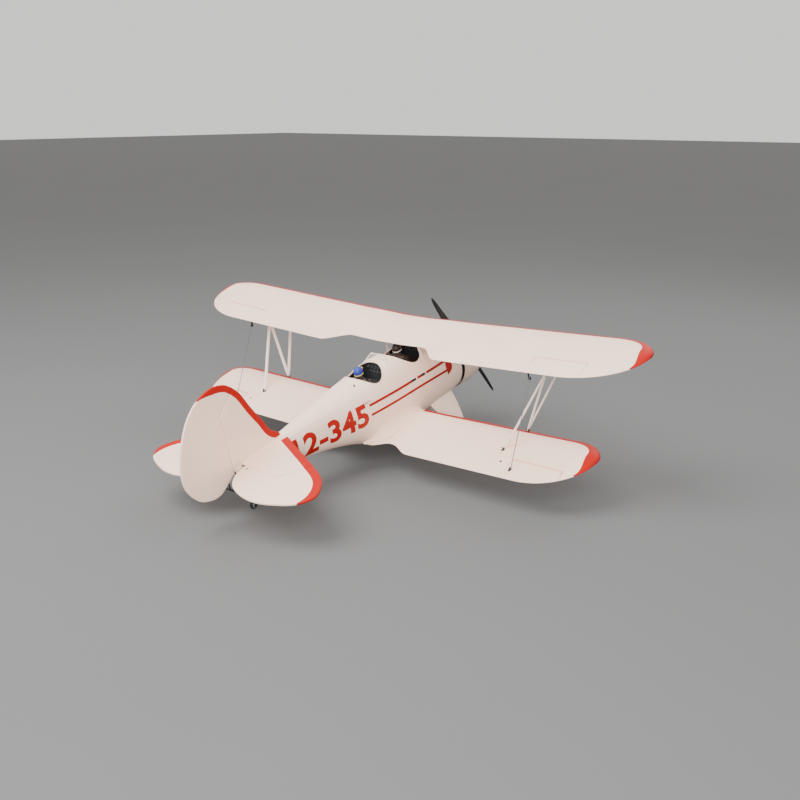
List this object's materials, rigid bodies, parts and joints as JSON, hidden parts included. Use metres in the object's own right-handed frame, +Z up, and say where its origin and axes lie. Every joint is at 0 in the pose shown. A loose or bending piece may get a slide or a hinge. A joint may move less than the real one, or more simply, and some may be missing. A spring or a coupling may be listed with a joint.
{
  "type": "radio controlled biplane",
  "caption": "Radio-controlled biplane with two open cockpits, round cowl, N-struts, rounded tail surfaces and fixed taildragger landing gear.",
  "frame": {"origin": "middle of the bottom of the whole aeroplane's bounding box, on the ground it stands on", "axes": "+X forward along the ground, +Y towards the left wing, +Z up; the aeroplane stands nose-up on its wheels"},
  "size_m": [1.189, 1.5396, 0.4175],
  "materials": {
    "covering_film": "satin heat-shrink film",
    "painted_cowl": "painted glass-fibre moulding",
    "strut_paint": "painted",
    "black_nylon": "moulded",
    "propeller_composite": "moulded, satin",
    "servo_case": "moulded",
    "battery_wrap": "shrink wrap",
    "plywood": "birch plywood",
    "machined_aluminium": "turned",
    "black_resin": "cast",
    "spring_steel": "drawn wire",
    "carbon_tube": "pultruded",
    "tyre_rubber": "moulded rubber",
    "clear_sheet": "clear plastic sheet",
    "pilot_vinyl": "painted vinyl"
  },
  "bodies": {
    "airframe": {"aileron_servos": "servo_case", "battery": "battery_wrap", "cabane_struts": "strut_paint", "dummy_crankcase": "machined_aluminium", "dummy_cylinders": "black_resin", "engine_cowl": "painted_cowl", "equipment_tray": "plywood", "firewall": "plywood", "front_cockpit_tub": "plywood", "front_pilot": "pilot_vinyl", "front_windscreen": "clear_sheet", "fuselage_shell": "covering_film", "gear_leg_left": "covering_film", "gear_leg_right": "covering_film", "gear_plate": "painted_cowl", "lower_wing_joiner": "carbon_tube", "lower_wing_left": "covering_film", "lower_wing_right": "covering_film", "motor_mount": "plywood", "motor_stator": "machined_aluminium", "n_strut_left": "strut_paint", "n_strut_right": "strut_paint", "receiver": "servo_case", "speed_controller": "servo_case", "stabilizer": "covering_film", "strut_brackets": "black_nylon", "tail_fin": "covering_film", "tail_gear_spring": "spring_steel", "tail_servos": "servo_case", "upper_wing_joiner": "carbon_tube", "upper_wing_left": "covering_film", "upper_wing_right": "covering_film", "wheel_axles": "spring_steel"},
    "cockpit_hatch": {"cockpit_hatch": "covering_film", "hatch_screw": "spring_steel", "rear_windscreen": "clear_sheet", "rear_cockpit_tub": "plywood", "rear_pilot": "pilot_vinyl"},
    "propeller": {"propeller": "propeller_composite", "propeller_nut": "machined_aluminium", "motor_bell": "machined_aluminium"},
    "rudder": {"rudder": "covering_film", "rudder_horn": "black_nylon"},
    "elevator": {"elevator_left": "covering_film", "elevator_right": "covering_film", "elevator_joiner": "spring_steel"},
    "left_wheel": {"tyre_left": "tyre_rubber", "wheel_hub_left": "machined_aluminium"},
    "right_wheel": {"tyre_right": "tyre_rubber", "wheel_hub_right": "machined_aluminium"},
    "tail_fork": {"tail_wheel_fork": "black_nylon"},
    "tail_wheel": {"tail_wheel": "tyre_rubber"},
    "slave_rod_left": {"slave_rod_left": "spring_steel"},
    "slave_rod_right": {"slave_rod_right": "spring_steel"},
    "aileron_upper_left": {"aileron_upper_left": "covering_film"},
    "aileron_upper_right": {"aileron_upper_right": "covering_film"},
    "aileron_lower_left": {"aileron_lower_left": "covering_film"},
    "aileron_lower_right": {"aileron_lower_right": "covering_film"}
  },
  "joints": [
    {"name": "propeller_spin", "type": "hinge", "parent": "airframe", "child": "propeller", "pos_m": [0.55915, 0, 0.25784], "axis": [0.9715, 0, 0.2368], "continuous": true},
    {"name": "hatch_lift", "type": "slide", "parent": "airframe", "child": "cockpit_hatch", "axis": [-0.2368, 0, 0.9715], "range_m": [0, 0.06]},
    {"name": "rudder_swing", "type": "hinge", "parent": "airframe", "child": "rudder", "pos_m": [-0.45207, 0, 0.19218], "axis": [-0.2368, 0, 0.9715], "range_deg": [-30, 30]},
    {"name": "tail_wheel_steer", "type": "hinge", "parent": "airframe", "child": "tail_fork", "pos_m": [-0.35579, 0, 0.03173], "axis": [0, 0, 1], "range_deg": [-30, 30]},
    {"name": "tail_wheel_spin", "type": "hinge", "parent": "tail_fork", "child": "tail_wheel", "pos_m": [-0.36979, 0, 0.01173], "axis": [0, 1, 0], "continuous": true},
    {"name": "elevator_swing", "type": "hinge", "parent": "airframe", "child": "elevator", "pos_m": [-0.40717, 0, 0.13045], "axis": [0, 1, 0], "range_deg": [-25, 25]},
    {"name": "left_wheel_spin", "type": "hinge", "parent": "airframe", "child": "left_wheel", "pos_m": [0.36728, 0.142, 0.04], "axis": [0, 1, 0], "continuous": true},
    {"name": "right_wheel_spin", "type": "hinge", "parent": "airframe", "child": "right_wheel", "pos_m": [0.36728, -0.142, 0.04], "axis": [0, 1, 0], "continuous": true},
    {"name": "right_lower_aileron", "type": "hinge", "parent": "airframe", "child": "aileron_lower_right", "pos_m": [0.07805, -0.493, 0.10758], "axis": [0.0053, 0.9997, -0.0219], "range_deg": [-15, 15]},
    {"name": "left_lower_aileron", "type": "hinge", "parent": "airframe", "child": "aileron_lower_left", "pos_m": [0.07805, 0.493, 0.10758], "axis": [-0.0053, 0.9997, 0.0219], "range_deg": [-15, 15]},
    {"name": "right_upper_aileron", "type": "hinge", "parent": "airframe", "child": "aileron_upper_right", "pos_m": [0.16822, -0.493, 0.3626], "axis": [0.0113, 0.9989, -0.0464], "range_deg": [-15, 15]},
    {"name": "left_upper_aileron", "type": "hinge", "parent": "airframe", "child": "aileron_upper_left", "pos_m": [0.16822, 0.493, 0.3626], "axis": [-0.0113, 0.9989, 0.0464], "range_deg": [-15, 15]},
    {"name": "right_slave_rod", "type": "hinge", "parent": "aileron_lower_right", "child": "slave_rod_right", "pos_m": [0.04547, -0.5082, 0.10613], "axis": [0.0053, 0.9997, -0.0219], "range_deg": [-20, 20]},
    {"name": "left_slave_rod", "type": "hinge", "parent": "aileron_lower_left", "child": "slave_rod_left", "pos_m": [0.04547, 0.5082, 0.10613], "axis": [-0.0053, 0.9997, 0.0219], "range_deg": [-20, 20]}
  ],
  "couplings": [
    {"joint": "tail_wheel_steer", "follows": "rudder_swing", "ratio": 1},
    {"joint": "left_lower_aileron", "follows": "right_lower_aileron", "ratio": -1},
    {"joint": "right_upper_aileron", "follows": "right_lower_aileron", "ratio": 1},
    {"joint": "left_upper_aileron", "follows": "right_lower_aileron", "ratio": -1},
    {"joint": "right_slave_rod", "follows": "right_lower_aileron", "ratio": -1.1583},
    {"joint": "left_slave_rod", "follows": "right_lower_aileron", "ratio": 1.1583}
  ]
}
